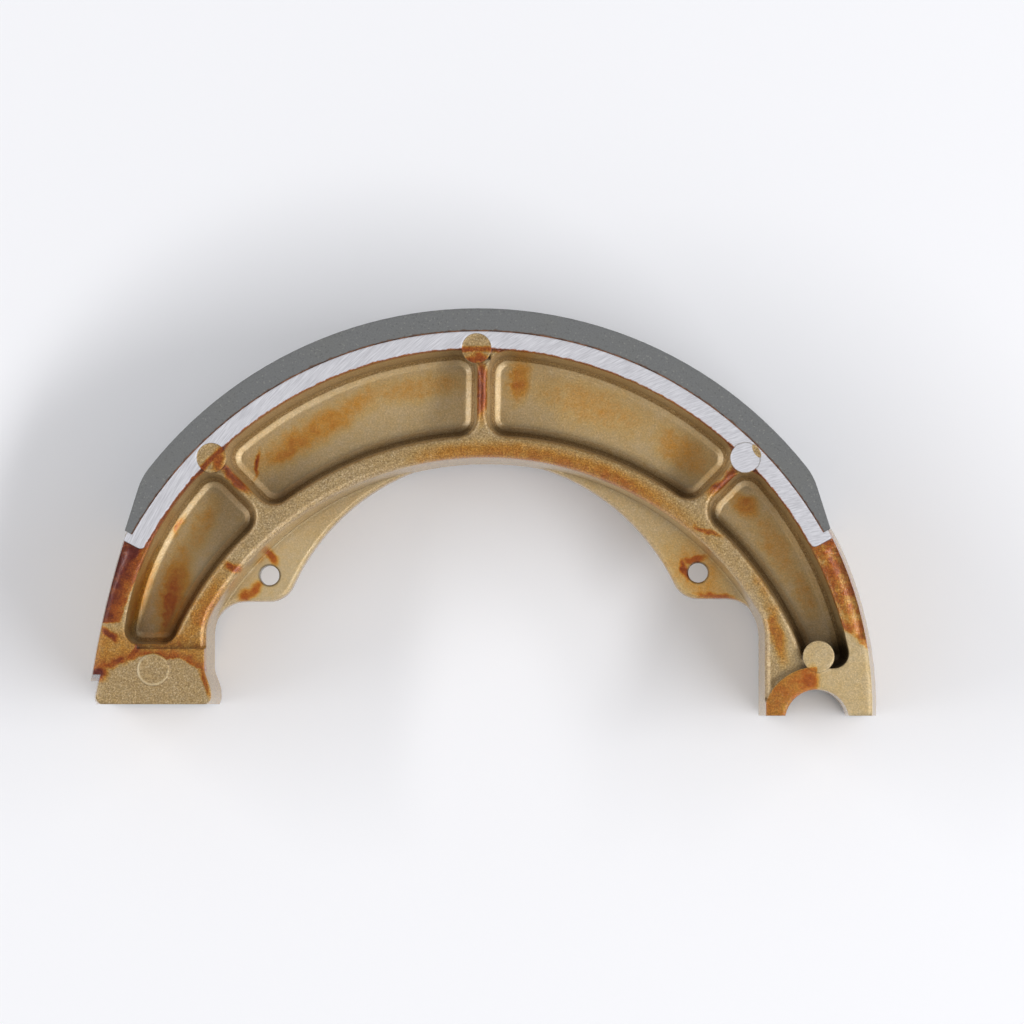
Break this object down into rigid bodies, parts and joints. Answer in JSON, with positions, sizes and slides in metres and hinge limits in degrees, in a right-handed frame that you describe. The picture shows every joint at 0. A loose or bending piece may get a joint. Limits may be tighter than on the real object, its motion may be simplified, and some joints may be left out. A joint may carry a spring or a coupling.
{
  "type": "brake shoe",
  "caption": "Drum brake shoe: a ribbed die-cast shoe with a bonded, bevelled friction lining, a flat for the cam, a half-round seat for the anchor pin and two spring ears.",
  "frame": {"origin": "on the drum's axis, in the plane of the side that the shoe lies on", "axes": "+Z along the drum's axis, +X from the cam end to the anchor end, +Y towards the middle of the lining"},
  "size_m": [0.1515, 0.0778, 0.03],
  "materials": {
    "cast_aluminium": "die-cast, with a thin gold-bronze varnish that has run and pooled to orange and red-brown, and milled bright along the band under the lining",
    "friction_material": "moulded friction material, ground dull grey, with fine grain",
    "adhesive": "cured dark brown adhesive"
  },
  "bodies": {
    "root": {"shoe_casting": "cast_aluminium", "friction_lining": "friction_material", "bond_layer": "adhesive"}
  },
  "joints": []
}
